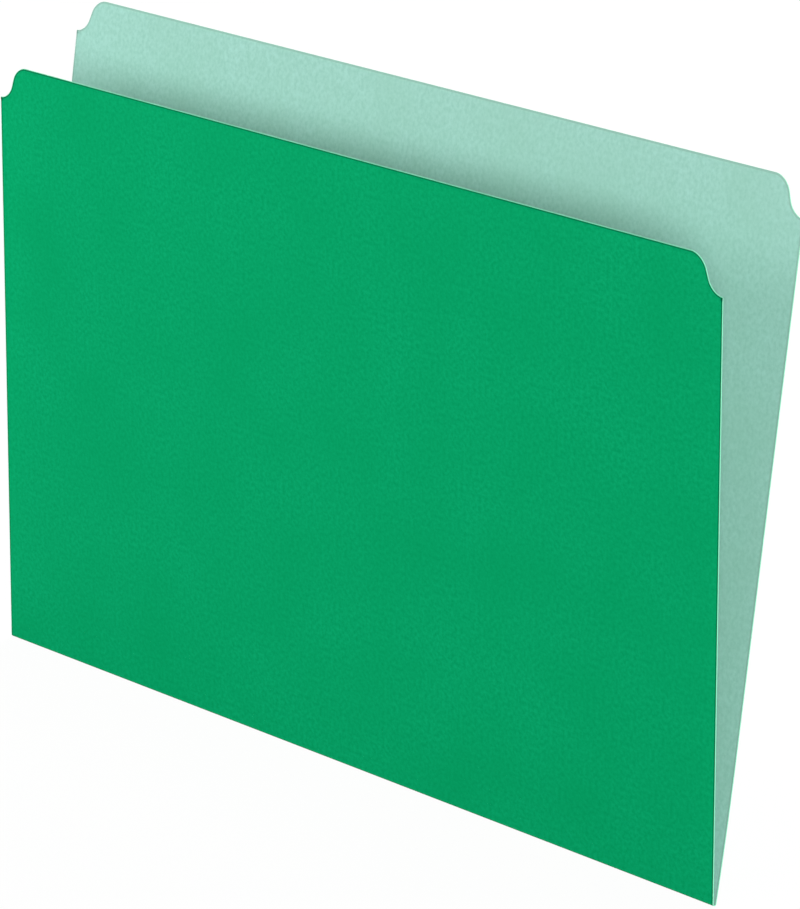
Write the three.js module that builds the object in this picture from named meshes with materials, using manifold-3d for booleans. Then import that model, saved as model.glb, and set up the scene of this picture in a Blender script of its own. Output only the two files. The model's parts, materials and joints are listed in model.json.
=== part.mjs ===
import * as THREE from 'three';
import { mergeVertices } from 'three/addons/utils/BufferGeometryUtils.js';
import Module from 'manifold-3d';

// A file folder: one die-cut sheet of board, folded along its length, standing a little open
// on its fold. Millimetres. +X runs along the fold, +Y from the front leaf to the back leaf,
// +Z up. The front leaf stands upright and the back leaf leans away from it.

// The sheet, legal size
const sheetWidth = 374.65;
const boardThickness = 0.28;
const frontHeight = 219.075;
const backHeight = 241.3;

// The full-width tab above the shoulders of each leaf
const tabHeight = 12.7;
const shoulderRadius = 7;
const tabCornerRadius = 7.5;
const tabSlant = 20;

// The main fold, the lean of the back leaf and the spring left in its foot
const foldRadius = 0.8;
const opening = 8.4;
const bowLength = 47;
const bowTurn = 2.4;

// The expansion scores across the foot of the front leaf, counted from the folded edge
const scoreCount = 3;
const firstScore = 5.4;
const scorePitch = 6.35;
const scoreBeadRadius = 0.2;
const scoreGroove = 0.04;

// The room that a crease leaves between the stiff boards on its two sides
const creaseClearance = 0.3;

// Smoothness of arcs
const arcSegments = 10;
const beadSegments = 16;

const radians = THREE.MathUtils.degToRad;
const innerOffset = foldRadius - boardThickness;
const foldSetback = Math.sqrt((foldRadius + creaseClearance) ** 2 - innerOffset ** 2);
const scoreSetback = scoreBeadRadius + creaseClearance;

const outsideBoard = new THREE.MeshStandardMaterial({
  name: 'green_board',
  color: '#079f65',
  roughness: 0.85,
  metalness: 0,
});
const insideBoard = new THREE.MeshStandardMaterial({
  name: 'mint_board',
  color: '#8cc9b0',
  roughness: 0.9,
  metalness: 0,
});

const wasm = await Module();
wasm.setup();

// Directions for laying flat outlines out in space
const alongX = new THREE.Vector3(1, 0, 0);
const alongY = new THREE.Vector3(0, 1, 0);
const alongZ = new THREE.Vector3(0, 0, 1);

// A side view, drawn as (y, z), carried along the fold and centred on the middle of the sheet
function alongFold(sideView, length) {
  const options = { depth: length, bevelEnabled: false, curveSegments: arcSegments };
  const geometry = new THREE.ExtrudeGeometry(sideView, options);
  geometry.translate(0, 0, -length / 2);
  return geometry.applyMatrix4(new THREE.Matrix4().makeBasis(alongY, alongZ, alongX));
}

// A front view, drawn as (x, z), given a thickness from nearFace toward the viewer
function frontOn(frontView, thickness, nearFace) {
  const options = { depth: thickness, bevelEnabled: false, curveSegments: arcSegments };
  const geometry = new THREE.ExtrudeGeometry(frontView, options);
  geometry.translate(0, 0, -nearFace);
  return geometry.applyMatrix4(new THREE.Matrix4().makeBasis(alongX, alongZ, alongY.clone().negate()));
}

function toSolid(geometry) {
  const bare = geometry.clone();
  bare.deleteAttribute('normal');
  bare.deleteAttribute('uv');
  const merged = mergeVertices(bare);
  return new wasm.Manifold(new wasm.Mesh({
    numProp: 3,
    vertProperties: new Float32Array(merged.attributes.position.array),
    triVerts: new Uint32Array(merged.index.array),
  }));
}

function toGeometry(solid) {
  const mesh = solid.getMesh();
  const geometry = new THREE.BufferGeometry();
  geometry.setAttribute('position', new THREE.BufferAttribute(mesh.vertProperties, 3));
  geometry.setIndex(new THREE.BufferAttribute(mesh.triVerts, 1));
  geometry.computeVertexNormals();
  return geometry;
}

function namedMesh(name, geometry, material) {
  const mesh = new THREE.Mesh(geometry, material);
  mesh.name = name;
  return mesh;
}

// A leaf seen from the front. At each end the tab steps down to the shoulder by a concave arc
// that starts square to the edge of the sheet, a slanting cut, and a rounded tab corner.
function leafOutline(bottom, top) {
  const edge = sheetWidth / 2;
  const slant = radians(tabSlant);
  const arcs = shoulderRadius + tabCornerRadius;
  const slantRise = tabHeight - arcs * (1 - Math.sin(slant));
  const setback = arcs * Math.cos(slant) + slantRise * Math.tan(slant);
  const shoulderCentre = top - tabHeight + shoulderRadius;
  const cornerCentre = top - tabCornerRadius;
  const right = Math.PI / 2;
  const outline = new THREE.Shape();
  outline.moveTo(-edge, bottom);
  outline.lineTo(edge, bottom);
  outline.absarc(edge, shoulderCentre, shoulderRadius, -right, slant - Math.PI, true);
  outline.absarc(edge - setback, cornerCentre, tabCornerRadius, slant, right, false);
  outline.absarc(setback - edge, cornerCentre, tabCornerRadius, right, Math.PI - slant, false);
  outline.absarc(-edge, shoulderCentre, shoulderRadius, -slant, -right, true);
  outline.closePath();
  return outline;
}

// The back leaf seen from its end, about the fold's axis. Its foot is sprung: it leaves the
// fold at a steeper lean and comes upright, by an arc, into the flat of the leaf.
function backLeafSideView(top) {
  const turn = radians(bowTurn);
  const bowRadius = bowLength / Math.sin(turn);
  const centreY = (innerOffset - bowRadius) * Math.cos(turn);
  const centreZ = (bowRadius - innerOffset) * Math.sin(turn);
  const foot = foldSetback / bowRadius - turn;
  const sideView = new THREE.Shape();
  sideView.absarc(centreY, centreZ, bowRadius, foot, 0, false);
  sideView.lineTo(centreY + bowRadius, top);
  sideView.lineTo(centreY + bowRadius + boardThickness, top);
  sideView.absarc(centreY, centreZ, bowRadius + boardThickness, 0, foot, true);
  sideView.closePath();
  return sideView;
}

// How far the flat of the back leaf's outer face lies from the fold's axis
function backFaceOffset() {
  const turn = radians(bowTurn);
  const bowRadius = bowLength / Math.sin(turn);
  return (innerOffset - bowRadius) * Math.cos(turn) + bowRadius + boardThickness;
}

function makeBackLeaf() {
  const top = backHeight - foldRadius;
  const spare = 2 * tabHeight;
  const bent = toSolid(alongFold(backLeafSideView(top + spare), sheetWidth + spare));
  const depth = 2 * backFaceOffset() + spare;
  const cutter = toSolid(frontOn(leafOutline(-spare, top), depth, depth / 2));
  return namedMesh('back_leaf', toGeometry(bent.intersect(cutter)), insideBoard);
}

// The main fold: the board bent round from the front leaf, under, to the foot of the back leaf
function makeMainFold() {
  const front = Math.PI;
  const back = 2 * Math.PI - radians(opening + bowTurn);
  const sideView = new THREE.Shape();
  sideView.absarc(0, 0, foldRadius, front, back, false);
  sideView.absarc(0, 0, innerOffset, back, front, true);
  sideView.closePath();
  return namedMesh('main_fold', alongFold(sideView, sheetWidth), outsideBoard);
}

// A strip of board between two creases, from one height above the fold's axis to another
function makeStrip(name, bottom, top) {
  const geometry = new THREE.BoxGeometry(sheetWidth, boardThickness, top - bottom);
  geometry.translate(0, -innerOffset - boardThickness / 2, (bottom + top) / 2);
  return namedMesh(name, geometry, outsideBoard);
}

// A score: the board is pressed to a shallow groove outside and stands as a bead inside
function makeScoreCrease(name) {
  const geometry = new THREE.CylinderGeometry(scoreBeadRadius, scoreBeadRadius, sheetWidth, beadSegments);
  geometry.rotateZ(Math.PI / 2);
  return namedMesh(name, geometry, outsideBoard);
}

function makeFrontLeaf(bottom) {
  const outline = leafOutline(bottom, frontHeight - foldRadius);
  return namedMesh('front_leaf', frontOn(outline, boardThickness, -innerOffset), outsideBoard);
}

// The foot of the front leaf, drawn about the fold's axis: from the fold up, each strip and the
// score above it. Gives back the last score, which the front leaf turns about.
function buildFoot(foot) {
  const y = scoreBeadRadius + scoreGroove - foldRadius;
  let bottom = foldSetback;
  let z = bottom;
  for (let i = 1; i <= scoreCount; i += 1) {
    z = firstScore + (i - 1) * scorePitch - foldRadius;
    foot.add(makeStrip(`expansion_strip_${i}`, bottom, z - scoreSetback));
    const crease = makeScoreCrease(`score_crease_${i}`);
    crease.position.set(0, y, z);
    foot.add(crease);
    bottom = z + scoreSetback;
  }
  return { y, z };
}

const folder = new THREE.Group();

// The fold rests on the floor, and the footprint from the front leaf's outer face to the top
// of the back leaf's outer face is centred on the origin
const lean = radians(opening);
const backReach = (backHeight - foldRadius) * Math.sin(lean) + backFaceOffset() * Math.cos(lean);
const fold = new THREE.Group();
fold.position.set(0, (foldRadius - backReach) / 2, foldRadius);
fold.add(makeMainFold());
folder.add(fold);

// The back leaf swings on the fold
const backPivot = new THREE.Group();
backPivot.rotation.x = -lean;
backPivot.add(makeBackLeaf());
fold.add(backPivot);

// The foot swings on the fold too, and carries the front leaf on its last score
const footPivot = new THREE.Group();
const lastScore = buildFoot(footPivot);
fold.add(footPivot);

const frontPivot = new THREE.Group();
frontPivot.position.set(0, lastScore.y, lastScore.z);
footPivot.add(frontPivot);

const frontLeaf = makeFrontLeaf(lastScore.z + scoreSetback);
frontLeaf.position.set(0, -lastScore.y, -lastScore.z);
frontPivot.add(frontLeaf);

export default folder;
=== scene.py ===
# %% [markdown]
# # A card file folder
# A file folder is one sheet of heavy card, cut by a die, pressed along its creases and folded
# once. Its outside is coated dark green and its inside shows the mint-dyed card itself. This
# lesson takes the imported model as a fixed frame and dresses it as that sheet: flat boards
# first, then the places where the board bends, then the floor, the light and the camera.

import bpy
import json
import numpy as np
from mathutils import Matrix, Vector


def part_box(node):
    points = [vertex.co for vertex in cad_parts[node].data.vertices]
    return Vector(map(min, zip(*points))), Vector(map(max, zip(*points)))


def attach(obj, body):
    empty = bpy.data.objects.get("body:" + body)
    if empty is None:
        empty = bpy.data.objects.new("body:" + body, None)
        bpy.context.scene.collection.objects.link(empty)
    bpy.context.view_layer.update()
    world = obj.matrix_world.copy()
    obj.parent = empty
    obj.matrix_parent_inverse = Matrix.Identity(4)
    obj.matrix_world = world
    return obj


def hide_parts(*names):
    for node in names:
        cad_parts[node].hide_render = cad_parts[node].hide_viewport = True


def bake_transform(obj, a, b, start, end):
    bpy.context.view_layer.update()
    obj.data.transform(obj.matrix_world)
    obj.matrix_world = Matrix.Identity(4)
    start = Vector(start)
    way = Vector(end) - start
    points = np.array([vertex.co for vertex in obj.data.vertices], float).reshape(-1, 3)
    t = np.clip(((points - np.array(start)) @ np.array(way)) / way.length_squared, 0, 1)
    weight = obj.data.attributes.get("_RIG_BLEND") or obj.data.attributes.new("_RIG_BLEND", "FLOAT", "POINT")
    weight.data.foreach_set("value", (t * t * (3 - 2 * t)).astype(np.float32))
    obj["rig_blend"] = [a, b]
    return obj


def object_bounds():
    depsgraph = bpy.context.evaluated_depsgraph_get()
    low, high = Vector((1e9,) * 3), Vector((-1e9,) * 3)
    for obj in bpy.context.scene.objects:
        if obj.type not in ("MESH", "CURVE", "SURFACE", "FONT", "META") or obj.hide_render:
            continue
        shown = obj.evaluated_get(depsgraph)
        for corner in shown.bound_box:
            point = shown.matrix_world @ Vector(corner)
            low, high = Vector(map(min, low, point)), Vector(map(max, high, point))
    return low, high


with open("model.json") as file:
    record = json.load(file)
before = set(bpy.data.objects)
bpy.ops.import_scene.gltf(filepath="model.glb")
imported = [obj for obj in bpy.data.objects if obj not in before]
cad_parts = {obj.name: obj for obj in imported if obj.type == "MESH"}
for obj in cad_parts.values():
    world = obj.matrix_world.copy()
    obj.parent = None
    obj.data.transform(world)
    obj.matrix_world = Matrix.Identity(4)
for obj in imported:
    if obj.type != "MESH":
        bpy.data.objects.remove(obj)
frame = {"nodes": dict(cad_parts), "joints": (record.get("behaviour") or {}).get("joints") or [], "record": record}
cad_low, cad_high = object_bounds()
print("frame box", [round(1000 * (b - a), 2) for a, b in zip(cad_low, cad_high)], "mm")

# %% Tools
import json
import math

import bmesh
import bpy
from mathutils import Matrix, Vector

MM = 0.001
TOLERANCE = 1e-6
PLANE_TOLERANCE = 1e-7

# %% [markdown]
# ## Where the sheet lies
# Everything that the frame knows is read from it: the line that the main fold turns about, the
# line of the last score, the thickness of the board, and how far the back leaf leans. They
# could be typed in again, but then the pieces would miss the joints as soon as a size changed.
# The back leaf's lean comes from the direction of its outer face, which is one of the mounts.


# %% Read the places from the frame
def joint_line(name):
    joint = next(j for j in frame["joints"] if j["name"] == name)
    return Vector(joint["pos_m"])


def mount_axis(name):
    mount = next(m for m in frame["record"]["mounts"] if m["name"] == name)
    return Vector(mount["axis"])


fold_line = joint_line("cover_swing")
last_score = joint_line("score_bend")
front_low, front_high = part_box("front_leaf")
sheet_width = front_high.x - front_low.x
board = front_high.y - front_low.y
outer_radius = fold_line.z - cad_low.z
inner_radius = outer_radius - board
print(f"sheet {sheet_width / MM:.2f} mm wide, board {board / MM:.2f} mm thick")

# %% Read the back leaf's lean and height
back_outward = mount_axis("back_outer_face")
lean = math.atan2(-back_outward.z, back_outward.y)
back_up = Vector((0, math.sin(lean), math.cos(lean)))
back_points = frame["nodes"]["back_leaf"].data.vertices
back_reach = max((v.co - fold_line).dot(back_up) for v in back_points)
print(f"back leaf leans {math.degrees(lean):.2f} deg, {back_reach / MM:.2f} mm above the fold")

# %% [markdown]
# The places where pieces meet come from the frame too. The foot of the front leaf starts a
# little above the fold, and each score has its own short stretch of board.

# %% Heights along the front side
foot_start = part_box("expansion_strip_1")[0].z
score_lines = []
for number in (1, 2, 3):
    crease_low, crease_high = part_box(f"score_crease_{number}")
    score_lines.append((crease_low.z + crease_high.z) / 2)
score_reach = front_low.z - last_score.z
print("scores at", [round(z / MM, 2) for z in score_lines], "mm above the floor")

# %% [markdown]
# ## Building a board
# A board could be a cube scaled flat, but a cube has no rows to bend and no notch. So a board
# starts as a flat face drawn in the plane of the sheet. It is cut into rows where it has to
# bend or take a pressed line, and then gets its thickness. One face is coated, the other is
# bare card, and the rim is the die's cut. Three material slots hold those three surfaces.
#
# Each corner also remembers where it lay on the flat sheet, in an attribute, so that the fibres
# of the card follow the board round its bends and stay put when it moves. A second attribute
# marks the outline, where a thin darker line is drawn, with a hairline of torn pale fibre at its
# very edge. Along the main fold's crease the same attribute carries painted shade.

# %% The three surfaces of a board
COATED, BARE, CUT = 0, 1, 2
SHEET = "sheet"
RIM = "rim"
rim_width = 1.2 * MM


def everything(bm):
    """All of a board's corners, edges and faces, as the operators want them."""
    return bm.verts[:] + bm.edges[:] + bm.faces[:]


def remember_sheet(bm):
    """Stores each corner's place on the flat sheet."""
    layer = bm.verts.layers.float_vector.new(SHEET)
    for vert in bm.verts:
        vert[layer] = vert.co
    return layer


def cut_rows(bm, heights):
    """Cuts a flat board along level lines."""
    for height in heights:
        bmesh.ops.bisect_plane(
            bm, geom=everything(bm), dist=PLANE_TOLERANCE,
            plane_co=(0, 0, height), plane_no=(0, 0, 1),
        )


# %% [markdown]
# The outline is marked in two ways. An inset of the whole face gives a leaf its rim, round all
# its arcs. A narrow board goes on into the next one above and below, so only its two ends are
# cut edges, and two cuts across it are enough.


# %% Mark the outline
def rim_of_outline(bm):
    """Marks the outline of a flat board with 1, and a line a rim's width inside it with 0."""
    layer = bm.verts.layers.float.new(RIM)
    for vert in bm.verts:
        vert[layer] = 1.0
    inner_faces = bm.faces[:]
    bmesh.ops.inset_region(
        bm, faces=inner_faces, thickness=rim_width, use_boundary=True, use_even_offset=True,
    )
    for face in inner_faces:
        for vert in face.verts:
            vert[layer] = 0.0


def rim_of_ends(bm):
    """Does the same at the two ends of a board that only the sheet's edges cut."""
    inside = sheet_width / 2 - rim_width
    for side in (-1, 1):
        bmesh.ops.bisect_plane(
            bm, geom=everything(bm), dist=PLANE_TOLERANCE,
            plane_co=(side * inside, 0, 0), plane_no=(1, 0, 0),
        )
    layer = bm.verts.layers.float.new(RIM)
    for vert in bm.verts:
        vert[layer] = 1.0 if abs(vert.co.x) > inside + rim_width / 2 else 0.0


# %% [markdown]
# Thickness comes from extruding the coated face through the board. A Solidify modifier would do
# it too, but the operator says which faces it made: the ones that end up behind are the bare
# side, and the walls are the rim. A wall that only meets the next piece of the same sheet is no
# cut edge, so it is marked as bare board afterwards.


# %% Give a board its thickness
def thicken(bm, toward):
    """Extrudes the coated face by the thickness of the board, toward +Y (1) or -Y (-1)."""
    coated = bm.faces[:]
    for face in coated:
        face.material_index = COATED
    grown = bmesh.ops.extrude_face_region(bm, geom=coated, use_keep_orig=True)["geom"]
    moved = [g for g in grown if isinstance(g, bmesh.types.BMVert)]
    bmesh.ops.translate(bm, verts=moved, vec=(0, toward * board, 0))
    bare = {g for g in grown if isinstance(g, bmesh.types.BMFace)}
    for face in bm.faces:
        if face in bare:
            face.material_index = BARE
        elif face not in coated:
            face.material_index = CUT
    bmesh.ops.recalc_face_normals(bm, faces=bm.faces[:])


def joined_wall(bm, height):
    """Marks the wall at one height as bare board, because the sheet goes on there."""
    for face in bm.faces:
        if all(abs(v.co.z - height) < TOLERANCE for v in face.verts):
            face.material_index = BARE


# %% [markdown]
# ## The outline of a leaf
# Both leaves end in a tab as wide as the sheet, stepped in at each end. The step is drawn with
# sharp corners and then rounded by bevelling those corners, as a die maker rounds a rule: a
# radius r on a corner that turns by an angle starts r tan(angle / 2) away from it. The arcs
# could be worked out point by point, but the bevel puts them where two straight cuts meet
# without any sums. Half the leaf is drawn and mirrored, because the sheet is symmetrical.

# %% Tab sizes
tab_height = 12.7 * MM
tab_slant = math.radians(20)
shoulder_radius = 7.0 * MM
corner_radius = 7.5 * MM
round_steps = 12
corner_turn = math.pi / 2 - tab_slant
# The shoulder's arc stops a thousandth short, so that it doesn't run into the sheet's corner
stop_short = 0.999


# %% Draw a leaf
def round_corner(bm, vert, radius):
    reach = radius * math.tan(corner_turn / 2)
    bmesh.ops.bevel(
        bm, geom=[vert], offset=reach, offset_type="OFFSET", affect="VERTICES",
        segments=round_steps, profile=0.5, material=-1,
    )


def leaf_face(bottom, top):
    """A flat leaf in the plane y = 0, from one height to another."""
    edge = sheet_width / 2
    shoulder = edge - shoulder_radius * math.tan(corner_turn / 2)
    corner = shoulder - tab_height * math.tan(tab_slant)
    step = top - tab_height
    # The leaf is drawn too long at its foot and cut off there once it has its rim, because the
    # sheet goes on below and has no rim along that line
    spare = bottom - 2 * rim_width
    outline = [
        (0, spare), (edge, spare), (edge, step), (shoulder, step), (corner, top), (0, top),
    ]
    bm = bmesh.new()
    corners = [bm.verts.new((x, 0, z)) for x, z in outline]
    bm.faces.new(corners)
    round_corner(bm, corners[4], corner_radius)
    round_corner(bm, corners[3], shoulder_radius * stop_short)
    bmesh.ops.mirror(bm, geom=everything(bm), axis="X", merge_dist=TOLERANCE)
    rim_of_outline(bm)
    bmesh.ops.bisect_plane(
        bm, geom=everything(bm), dist=PLANE_TOLERANCE,
        plane_co=(0, 0, bottom), plane_no=(0, 0, 1), clear_inner=True,
    )
    return bm


# %% [markdown]
# ## Pressed scores
# A score is pressed into the card from the outside: it leaves a wide, very shallow groove in
# the coated face and a narrow bead on the bare one. A bump in the material could draw the line,
# but it would be gone from the mesh. So rows of the board are moved, with the same smooth hump
# on every piece that a score reaches, and the pieces match where they meet.

# %% Score sizes
groove_depth = 0.03 * MM
groove_half_width = 1.0 * MM
bead_height = 0.12 * MM
bead_half_width = 0.45 * MM
rows_each_side = 12


def hump(distance, half_width):
    """A smooth rise from 0 at half_width to 1 at the middle."""
    if abs(distance) >= half_width:
        return 0.0
    return 0.5 + 0.5 * math.cos(math.pi * distance / half_width)


def score_rows(bottom, top):
    """The rows that the grooves and beads need, between two heights."""
    rows = []
    for line in score_lines:
        for i in range(-rows_each_side, rows_each_side + 1):
            height = line + groove_half_width * i / rows_each_side
            if bottom + TOLERANCE < height < top - TOLERANCE:
                rows.append(height)
    return rows


def press_scores(bm):
    """Presses the grooves and beads into a front board that lies in its place."""
    middle = front_low.y + board / 2
    for vert in bm.verts:
        distance = min((vert.co.z - line for line in score_lines), key=abs)
        if vert.co.y < middle:
            vert.co.y += groove_depth * hump(distance, groove_half_width)
        else:
            vert.co.y += bead_height * hump(distance, bead_half_width)


# %% [markdown]
# ## Colours and nodes
# Colours are written as on a paint card, in sRGB, and one function turns them to the linear
# values that the renderer wants. One more small function adds a node, sets its inputs and
# links the ones that are given as sockets. A Mix node has sockets for numbers, vectors and
# colours under the same names, so its colour sockets are told apart by their numbers.

# %% Colour and node helpers
FACTOR, UNDER, OVER = 0, 6, 7
MIXED_COLOUR = 2


def srgb(code):
    """A linear colour from a hex code."""
    parts = [int(code[i:i + 2], 16) / 255 for i in (1, 3, 5)]
    linear = [c / 12.92 if c <= 0.04045 else ((c + 0.055) / 1.055) ** 2.4 for c in parts]
    return (*linear, 1.0)


def add(tree, kind, inputs=(), **settings):
    """Adds a node; inputs maps an input's name or number to a value or to a socket."""
    node = tree.nodes.new(kind)
    for name, value in settings.items():
        setattr(node, name, value)
    for key, value in dict(inputs).items():
        if isinstance(value, bpy.types.NodeSocket):
            tree.links.new(value, node.inputs[key])
        else:
            node.inputs[key].default_value = value
    return node


def new_material(name):
    material = bpy.data.materials.new(name)
    material.use_nodes = True
    material.node_tree.nodes.clear()
    return material, material.node_tree


# %% [markdown]
# ## The card
# Card is pressed wood fibre. Seen from a step away its colour isn't even: clumps of fibre take
# the dye a little differently, and so do wide, faint clouds that come from the paper machine.
# The surface has a fine tooth, which a bump gives. A scanned texture could show all this, but
# noises need no picture, and they keep their real size on every piece. They read the place on
# the flat sheet, so that they run on unbroken from one piece to the next.
#
# Single fibres are a few hundredths of a millimetre wide, and the real tooth is as fine. Both
# are too fine to show in the picture, so they are drawn as coarse as they need to show.

# %% The card's patterns
# Each pattern: the length of its features, its detail, and how rough that detail is
patterns = {
    "clumps": (1.5 * MM, 2.0, 0.6),
    "clouds": (38 * MM, 3.0, 0.5),
    "tooth": (0.45 * MM, 3.0, 0.65),
}
tooth_height = 0.012 * MM
tooth_strength = 0.5
print("patterns", {name: f"{size / MM:.2f} mm" for name, (size, _, _) in patterns.items()})

# %% [markdown]
# A card's colour is built as a printer would, in layers. It starts as the darker fibres. Each
# layer then lays one tone over what is there, where a mask rises from a low to a high value,
# and by a share at most. The rim's two layers come last: a thin darker line, which along the
# main fold's crease is painted shade, and the hairline of torn fibre outside it.

# %% Where each layer starts and is full
clumps_from, clumps_to = 0.3, 0.7
clouds_from, clouds_to = 0.35, 1.1
# The darker line's layer is also painted shade along the main fold's crease
dark_line_and_crease_shade_from, dark_line_and_crease_shade_to, dark_line_and_crease_shade_share = 0.35, 0.5, 0.85
torn_from, torn_to = 0.86, 0.92


def layered_colour(tree, masks, dark, light, cloud_tone, rim_tones):
    """The card's colour: two fibre tones, clouds and, if it has one, a rim of two tones."""
    layers = [
        (masks["clumps"], clumps_from, clumps_to, 1.0, light),
        (masks["clouds"], clouds_from, clouds_to, 1.0, cloud_tone),
    ]
    if rim_tones:
        rim = add(tree, "ShaderNodeAttribute", attribute_name=RIM).outputs["Fac"]
        # The first rim tone is the darker line, which along the fold's crease is painted shade
        dark_line_and_crease_shade_tone, torn_tone = rim_tones
        layers += [
            (rim, dark_line_and_crease_shade_from, dark_line_and_crease_shade_to, dark_line_and_crease_shade_share, dark_line_and_crease_shade_tone),
            (rim, torn_from, torn_to, 1.0, torn_tone),
        ]
    colour = srgb(dark)
    for mask, low, high, share, tone in layers:
        cover = add(tree, "ShaderNodeMapRange", {
            "Value": mask, "From Min": low, "From Max": high, "To Max": share,
        })
        colour = add(tree, "ShaderNodeMix", {
            FACTOR: cover.outputs["Result"], UNDER: colour, OVER: srgb(tone),
        }, data_type="RGBA").outputs[MIXED_COLOUR]
    return colour


# %% [markdown]
# Card this thin lets some light through. A Translucent shader mixed into the surface passes a
# quarter of it, tinted by the card on the way, so that the inside of the folder doesn't go
# black where only its outside is lit. Scattering inside the card would be truer, but needs a
# thicker body than this.

# %% A card's material
light_passed = 0.25
card_ior = 1.5


def make_card(name, dark, light, cloud_tone, rim_tones, stretch, roughness, shine):
    """A card surface; stretch draws its fibres out along the height of the sheet."""
    material, tree = new_material(name)
    flat = add(tree, "ShaderNodeAttribute", attribute_name=SHEET)
    place = add(tree, "ShaderNodeMapping", {
        "Vector": flat.outputs["Vector"], "Scale": (1.0, 1.0, 1.0 / stretch),
    })
    masks = {}
    for pattern, (size, detail, coarseness) in patterns.items():
        masks[pattern] = add(tree, "ShaderNodeTexNoise", {
            "Vector": place.outputs["Vector"], "Scale": 1 / size,
            "Detail": detail, "Roughness": coarseness,
        }).outputs["Fac"]
    colour = layered_colour(tree, masks, dark, light, cloud_tone, rim_tones)
    bump = add(tree, "ShaderNodeBump", {
        "Strength": tooth_strength, "Distance": tooth_height, "Height": masks["tooth"],
    })
    surface = add(tree, "ShaderNodeBsdfPrincipled", {
        "Base Color": colour, "Roughness": roughness, "IOR": card_ior,
        "Specular IOR Level": shine, "Normal": bump.outputs["Normal"],
    })
    passed = add(tree, "ShaderNodeBsdfTranslucent", {
        "Color": colour, "Normal": bump.outputs["Normal"],
    })
    both = add(tree, "ShaderNodeMixShader", {
        0: light_passed, 1: surface.outputs[0], 2: passed.outputs[0],
    })
    add(tree, "ShaderNodeOutputMaterial", {"Surface": both.outputs[0]})
    return material


# %% [markdown]
# The outside is coated and the inside is the bare card. The cut edge shows the card's mint core,
# painted the palest of the three as a painted highlight for the light from above on the top edges.

# %% The three surfaces
# Card with a matt dyed coating, which fills the fibres: an even, deep green with next to no
# shine, its grain only faintly seen, a thin dark line and pale torn fibre along the cuts, and
# painted shade in the same dark tone along the fold's crease
coated_card = make_card(
    "coated_green_card", "#00965d", "#09a86e", "#00995d", ("#006b45", "#8feac4"),
    stretch=0.9, roughness=0.8, shine=0.03,
)
# Dyed card as the machine's rollers left it: pale, softer, with its fibres in plain view and a
# slight sheen where light grazes it; its thin dark line along the cuts is a little greyer, and
# the same greyer tone is painted shade along the fold's crease
bare_card = make_card(
    "bare_mint_card", "#95c6ba", "#a7d4cb", "#94c5b5", ("#8eb7aa", "#8eb7aa"),
    stretch=1.1, roughness=0.6, shine=0.5,
)
# The die's cut through the card: dull torn fibre ends in the card's mint, painted brighter than
# the bare card as a painted highlight for the light from above on the top edges, so the thin
# edge shows as a bright mint line
cut_edge_painted_highlight = make_card(
    "die_cut_edge_painted_highlight", "#86e6bd", "#9ef4d0", "#8feac4", None,
    stretch=1.0, roughness=0.95, shine=0.03,
)
surfaces = [coated_card, bare_card, cut_edge_painted_highlight]
print("materials", [m.name for m in surfaces])

# %% [markdown]
# ## Making an object of it
# A finished board becomes one object, with its three surfaces in three material slots, in the
# order of the numbers that its faces carry. The object stays at the origin, because its place
# is in its mesh. The operators hand over their new faces in an order that changes from run to
# run, so the faces are sorted by their corners, and the mesh comes out the same every time.

# %% Finish a piece
MOST_CORNERS = 1e4


def face_rank(face):
    """A number that grows with the numbers of a face's three lowest corners."""
    first, second, third = sorted(v.index for v in face.verts)[:3]
    return (first * MOST_CORNERS + second) * MOST_CORNERS + third


def finish_piece(name, bm):
    """Turns a board into an object with the card's three surfaces."""
    mesh = bpy.data.meshes.new(name)
    bmesh.ops.recalc_face_normals(bm, faces=bm.faces[:])
    bm.verts.index_update()
    bm.faces.sort(key=face_rank)
    bm.to_mesh(mesh)
    bm.free()
    piece = bpy.data.objects.new(name, mesh)
    bpy.context.scene.collection.objects.link(piece)
    for material in surfaces:
        mesh.materials.append(material)
    print(f"{name}: {len(mesh.polygons)} faces")
    return piece


# %% [markdown]
# ## The front leaf
# The large green panel, which the hand opens. Its face is drawn in the plane of the coated
# side, cut where the last score's groove reaches it, thickened inward, and moved to where the
# frame has it. All the boards of the front side are made this way, so it is one function.


# %% Front leaf
def front_board(name, bm, joined_at):
    """Finishes a flat board of the front side, which is drawn at its real height."""
    heights = [v.co.z for v in bm.verts]
    cut_rows(bm, score_rows(min(heights), max(heights)))
    thicken(bm, 1)
    for height in joined_at:
        joined_wall(bm, height)
    remember_sheet(bm)
    bmesh.ops.translate(bm, verts=bm.verts[:], vec=(0, front_low.y, 0))
    press_scores(bm)
    return finish_piece(name, bm)


front_face = leaf_face(front_low.z, front_high.z)
front_leaf = front_board("front_leaf_board", front_face, joined_at=[front_low.z])
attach(front_leaf, "front")
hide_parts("front_leaf")

# %% [markdown]
# ## The expanding foot
# Below the front leaf the sheet is scored three times, so that the foot can be squared off when
# the folder fills. It could be one board, but its creases turn apart from its panels. So the
# three narrow strips and the short stretches of pressed board between them are separate pieces
# that meet edge to edge. The last score is where the leaf really turns, so its stretch of board
# bends: it follows the foot at its lower edge and the leaf at its upper.


# %% Strips and scores
def upright_face(height, middle):
    """A flat face as wide as the sheet, in the plane y = 0, about a level middle line."""
    bm = bmesh.new()
    bmesh.ops.create_grid(bm, x_segments=1, y_segments=1, size=0.5)
    upright = Matrix.Rotation(math.pi / 2, 3, "X")
    bmesh.ops.rotate(bm, verts=bm.verts[:], cent=(0, 0, 0), matrix=upright)
    bmesh.ops.scale(bm, verts=bm.verts[:], vec=(sheet_width, 1, height))
    bmesh.ops.translate(bm, verts=bm.verts[:], vec=(0, 0, middle))
    return bm


def foot_board(name, bottom, top, node):
    bm = upright_face(top - bottom, (bottom + top) / 2)
    rim_of_ends(bm)
    piece = front_board(name, bm, joined_at=[bottom, top])
    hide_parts(node)
    return piece


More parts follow.
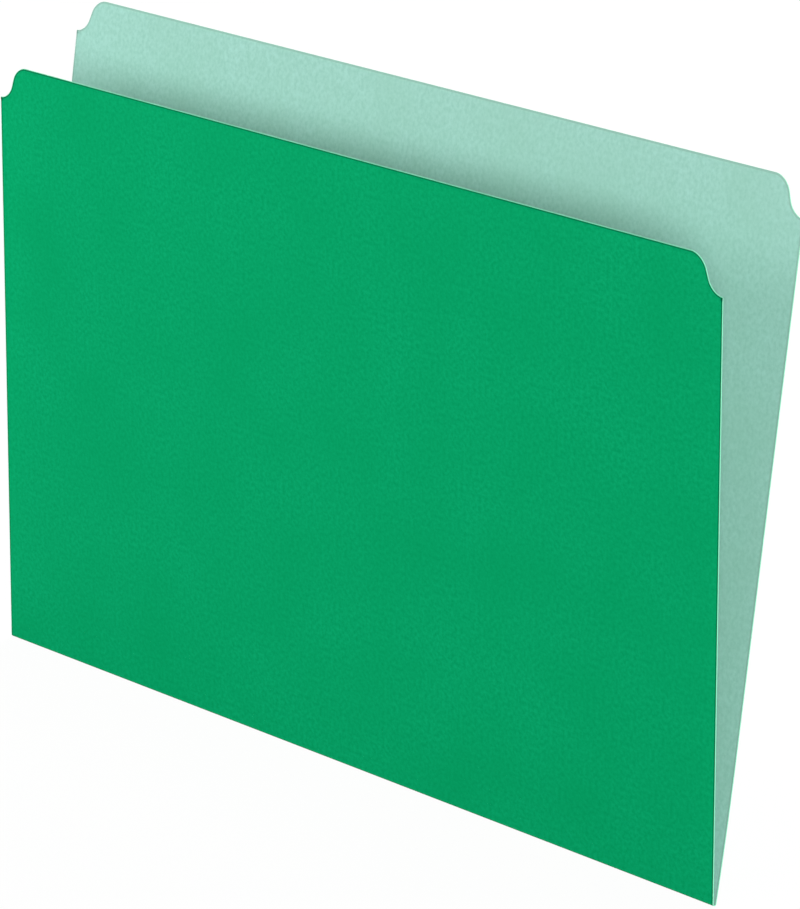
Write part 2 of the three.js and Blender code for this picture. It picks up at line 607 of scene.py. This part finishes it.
strip_bottom = foot_start
for number, line in enumerate(score_lines, 1):
    score_bottom, score_top = line - score_reach, line + score_reach
    strip_node, score_node = f"expansion_strip_{number}", f"score_crease_{number}"
    strip = foot_board(f"foot_strip_{number}", strip_bottom, score_bottom, strip_node)
    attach(strip, "foot")
    score = foot_board(f"pressed_score_{number}", score_bottom, score_top, score_node)
    if number < len(score_lines):
        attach(score, "foot")
    strip_bottom = score_top

lower_edge = last_score - Vector((0, 0, score_reach))
upper_edge = last_score + Vector((0, 0, score_reach))
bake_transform(score, "foot", "front", start=lower_edge, end=upper_edge)

# %% [markdown]
# ## The main fold
# The board turns almost right round here. A bevelled box edge would change its thickness round
# the bend, so the bend is made by spinning the board's section, a long thin rectangle, about
# the fold's own line. Two pieces share the bend, because two things turn on it: the front one
# follows the foot, and the back one follows the back leaf. Each is spun from the lowest point
# of the fold and ends with the short flat that leads into its leaf.

# %% Fold sizes
fold_steps = 14
front_turn = -math.pi / 2
bow_turn = math.radians(2.4)
back_turn = math.pi / 2 - lean - bow_turn
lead_in = foot_start - fold_line.z
middle_radius = (outer_radius + inner_radius) / 2
print(f"fold {outer_radius / MM:.2f} mm outside, {lead_in / MM:.2f} mm of flat on each side")


# %% Spin the fold
def spin_fold(turn):
    """A bend from the lowest point round by an angle, then the flat that leads into a leaf."""
    bm = upright_face(board, -middle_radius)
    spun = bmesh.ops.spin(
        bm, geom=everything(bm), cent=(0, 0, 0), axis=(1, 0, 0), dvec=(0, 0, 0),
        angle=turn, steps=fold_steps, use_merge=False, use_duplicate=False,
    )["geom_last"]
    end = [g for g in spun if isinstance(g, bmesh.types.BMFace)]
    grown = bmesh.ops.extrude_face_region(bm, geom=end)["geom"]
    moved = [g for g in grown if isinstance(g, bmesh.types.BMVert)]
    onward = Matrix.Rotation(turn, 3, "X") @ Vector((0, math.copysign(lead_in, turn), 0))
    bmesh.ops.translate(bm, verts=moved, vec=onward)
    bmesh.ops.delete(bm, geom=end, context="FACES_ONLY")
    rim_of_ends(bm)
    return bm


# %% [markdown]
# The surfaces are told apart by where they lie. A face on the outside of the bend is coated, one
# on its inside is bare, and the two ends across the sheet are cut. The place on the flat sheet is
# the length round the bend, measured at the middle of the board. Along the crease the darker line
# of the outline is painted on as shade, full at the lowest point, where the fold turns down to
# the floor, and gone where the board stands upright.


# %% Mark the fold's surfaces
def bend_angle(y, z, turn):
    """How far round the bend a point lies, from its lowest point, and the flat beyond it."""
    angle = math.atan2(y, -z)
    if abs(angle) <= abs(turn) + TOLERANCE:
        return angle, 0.0
    along = Matrix.Rotation(turn, 3, "X") @ Vector((0, math.copysign(1, turn), 0))
    return turn, y * along.y + z * along.z


def surface_of(face):
    """Which surface a face of the bend has: it faces a way when it is within 60 degrees of it."""
    facing = math.cos(math.radians(60))
    centre = face.calc_center_median()
    outward = Vector((0, centre.y, centre.z)).normalized()
    if abs(face.normal.x) > facing:
        return CUT
    return COATED if face.normal.dot(outward) > facing else BARE


# %% [markdown]
# Both halves are made and marked about the origin, where the angles are simple, and then moved
# to the fold's line. Each half blends between two bodies: it stays with the fold at its lowest
# point and turns with its own leaf at its end.


# %% The two halves of the fold
def finish_fold(name, turn):
    bm = spin_fold(turn)
    bmesh.ops.recalc_face_normals(bm, faces=bm.faces[:])
    layer = bm.verts.layers.float_vector.new(SHEET)
    rim = bm.verts.layers.float[RIM]
    for vert in bm.verts:
        angle, beyond = bend_angle(vert.co.y, vert.co.z, turn)
        along_sheet = -middle_radius * angle + math.copysign(beyond, -turn)
        vert[layer] = (vert.co.x, 0, along_sheet)
        # Painted shade along the crease: the darker line's tone, full at the fold's lowest point
        vert[rim] = max(vert[rim], dark_line_and_crease_shade_to * math.cos(angle) ** 2)
    for face in bm.faces:
        face.material_index = surface_of(face)
    bmesh.ops.translate(bm, verts=bm.verts[:], vec=fold_line)
    return finish_piece(name, bm)


def on_fold(turn):
    """The point of the fold's outside that lies an angle round from its lowest point."""
    outward = Vector((0, outer_radius * math.sin(turn), -outer_radius * math.cos(turn)))
    return fold_line + outward


fold_front = finish_fold("main_fold_front_half", front_turn)
fold_back = finish_fold("main_fold_back_half", back_turn)
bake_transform(fold_front, "foot", "fold", start=on_fold(front_turn), end=on_fold(0))
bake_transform(fold_back, "fold", "back", start=on_fold(0), end=on_fold(back_turn))
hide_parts("main_fold")
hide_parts("main_fold")

# %% [markdown]
# ## The back leaf
# The taller leaf, whose mint inside shows above the front one. It is drawn flat like the front
# leaf. Its foot is sprung: the last 47 mm above the fold are bent, row by row, a little further
# than the rest. A bend modifier could do it, but it has to be aimed and limited to the foot. So
# each row is a hinge line about which everything below it is rotated, as a sheet is worked over
# a bar. The whole leaf then leans back about the main fold.

# %% Back leaf sizes
bow_length = 47.0 * MM
bow_steps = 24
bow_radius = bow_length / math.sin(bow_turn)
bow_top = (bow_radius - inner_radius) * math.sin(bow_turn)
inner_face = bow_radius + (inner_radius - bow_radius) * math.cos(bow_turn)
bow_arc = bow_radius * bow_turn
leaf_bottom = bow_top - bow_arc + lead_in
row_height = (bow_top - leaf_bottom) / bow_steps
row_turn = bow_turn * (1 - lead_in / bow_arc) / bow_steps
print(f"foot bent on a radius of {bow_radius / MM:.0f} mm, in rows of {row_height / MM:.2f} mm")


# %% Back leaf
def bend_foot(bm, layer):
    """Bends the foot of the upright leaf toward the fold, row by row from the top down."""
    pivot = Vector((0, inner_face, bow_top))
    direction = Vector((0, 0, -row_height))
    for row in range(bow_steps):
        height = bow_top - row * row_height
        # The first chord of an arc leaves the straight by half a turn
        turn = row_turn / 2 if row == 0 else row_turn
        hinge = Matrix.Rotation(-turn, 3, "X")
        below = [v for v in bm.verts if v[layer].z < height - row_height / 2]
        bmesh.ops.rotate(bm, verts=below, cent=pivot, matrix=hinge)
        direction.rotate(hinge)
        pivot = pivot + direction


back_face = leaf_face(leaf_bottom, back_reach)
cut_rows(back_face, [bow_top - (bow_top - leaf_bottom) * k / bow_steps for k in range(bow_steps)])
thicken(back_face, -1)
joined_wall(back_face, leaf_bottom)
sheet_layer = remember_sheet(back_face)
bmesh.ops.translate(back_face, verts=back_face.verts[:], vec=(0, inner_face + board, 0))
bend_foot(back_face, sheet_layer)
leaning = Matrix.Rotation(-lean, 3, "X")
bmesh.ops.rotate(back_face, verts=back_face.verts[:], cent=(0, 0, 0), matrix=leaning)
bmesh.ops.translate(back_face, verts=back_face.verts[:], vec=fold_line)
back_leaf = finish_piece("back_leaf_board", back_face)
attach(back_leaf, "back")
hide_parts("back_leaf")

# %% [markdown]
# ## The floor and the tent
# The folder stands on a wide white floor in an even, soft light, like a thing on a sheet of
# paper under a tent. Bright lamps could burn the floor white, but they would wash out the mint
# too. So the floor and the world have a light of their own that only shows itself: it is white
# for rays that come from the camera, straight, mirrored or through glass, while the folder is
# lit by the greyer paper and by a faint tent. The floor keeps a share of the folder's shadow.

# %% Floor sizes and tones
floor_size = 14.0
paper_for_light = "#a0a0a0"
white = "#ffffff"
floor_glow = 0.95
tent_light = 0.17
white_light = 1.0


def rays_to_camera(tree):
    """1 for rays that show something to the camera, and 0 for rays that only carry light."""
    path = add(tree, "ShaderNodeLightPath")
    seen = path.outputs["Is Camera Ray"]
    for ray in ("Is Glossy Ray", "Is Transmission Ray"):
        either = add(tree, "ShaderNodeMath", {0: seen, 1: path.outputs[ray]}, operation="MAXIMUM")
        seen = either.outputs[0]
    return seen


# %% Floor
floor_mesh = bpy.data.meshes.new("floor")
floor_bm = bmesh.new()
bmesh.ops.create_grid(floor_bm, x_segments=1, y_segments=1, size=floor_size / 2)
floor_bm.to_mesh(floor_mesh)
floor_bm.free()
floor = bpy.data.objects.new("floor", floor_mesh)
bpy.context.scene.collection.objects.link(floor)

floor_material, tree = new_material("white_paper_floor")
seen = rays_to_camera(tree)
paper_tone = add(tree, "ShaderNodeMix", {
    FACTOR: seen, UNDER: srgb(paper_for_light), OVER: srgb(white),
}, data_type="RGBA").outputs[MIXED_COLOUR]
paper = add(tree, "ShaderNodeBsdfDiffuse", {"Color": paper_tone})
glow = add(tree, "ShaderNodeEmission", {"Color": srgb(white), "Strength": white_light})
share = add(tree, "ShaderNodeMath", {0: seen, 1: floor_glow}, operation="MULTIPLY")
both = add(tree, "ShaderNodeMixShader", {
    0: share.outputs[0], 1: paper.outputs[0], 2: glow.outputs[0],
})
add(tree, "ShaderNodeOutputMaterial", {"Surface": both.outputs[0]})
floor_mesh.materials.append(floor_material)
print(f"floor {floor_size:.0f} m wide")

# %% World
world = bpy.data.worlds.new("soft_tent")
bpy.context.scene.world = world
world.use_nodes = True
tree = world.node_tree
tree.nodes.clear()
seen = rays_to_camera(tree)
tent = add(tree, "ShaderNodeBackground", {"Color": srgb(white), "Strength": tent_light})
wall = add(tree, "ShaderNodeBackground", {"Color": srgb(white), "Strength": white_light})
both = add(tree, "ShaderNodeMixShader", {0: seen, 1: tent.outputs[0], 2: wall.outputs[0]})
add(tree, "ShaderNodeOutputWorld", {"Surface": both.outputs[0]})

# %% [markdown]
# ## The lamps
# Four square soft boxes look at the middle of the folder. A single sun would be simpler, but its
# hard shadow would cut across the mint. The far one does most of the work: it is low, on the
# side of the open end, and so large that the front leaf's shadow fades out up the back leaf.
# The others lift the top edges, the left end and the back.


# %% Lamps
def direction(azimuth, elevation):
    """A direction in degrees; azimuth 0 is straight in front of the green leaf, 90 at its right."""
    a, e = math.radians(azimuth), math.radians(elevation)
    return Vector((math.sin(a) * math.cos(e), -math.cos(a) * math.cos(e), math.sin(e)))


# Each lamp: azimuth and elevation in degrees, distance and size in metres, power in watts
lamps = {
    "far_soft_box": (58, 6, 8.0, 4.0, 1310.0),
    "overhead_soft_box": (0, 88, 1.2, 0.9, 5.0),
    "near_soft_box": (-35, 24, 0.8, 0.4, 2.1),
    "rear_soft_box": (205, 25, 5.0, 2.5, 280.0),
}
middle = (cad_low + cad_high) / 2
for name, (azimuth, elevation, distance, size, power) in lamps.items():
    light = bpy.data.lights.new(name, "AREA")
    light.shape = "SQUARE"
    light.size = size
    light.energy = power
    lamp = bpy.data.objects.new(name, light)
    bpy.context.scene.collection.objects.link(lamp)
    lamp.location = middle + distance * direction(azimuth, elevation)
    lamp.rotation_euler = (middle - lamp.location).to_track_quat("-Z", "Y").to_euler()
    print(f"{name}: {power:.0f} W at {distance:.1f} m")

# %% [markdown]
# ## The camera
# The camera stands a little above the folder, on the side of its open end, and looks down at it
# through a long lens from about two metres away. It isn't rolled or shifted. Its place was found
# by matching the corners of the two leaves. From further off, through a longer lens, the edges
# of the leaves would run closer to parallel than they should.

# %% Camera
picture_width, picture_height = 800, 909
camera_azimuth = 48.674
camera_elevation = 16.578
camera_place = Vector((1469.2, -1282.4, 689.4)) * MM
focal_pixels = 5862.8
sensor_side = 36.0
view_limit = 50.0

camera_data = bpy.data.cameras.new("camera")
camera_data.sensor_fit = "AUTO"
camera_data.sensor_width = sensor_side
camera_data.lens = focal_pixels * sensor_side / max(picture_width, picture_height)
camera_data.clip_end = view_limit
camera = bpy.data.objects.new("camera", camera_data)
bpy.context.scene.collection.objects.link(camera)
camera.location = camera_place
looking = -direction(camera_azimuth, camera_elevation)
camera.rotation_euler = looking.to_track_quat("-Z", "Y").to_euler()
bpy.context.scene.camera = camera
bpy.context.scene.view_settings.view_transform = "Standard"
print(f"lens {camera_data.lens:.1f} mm, {(camera_place - middle).length:.2f} m from the folder")
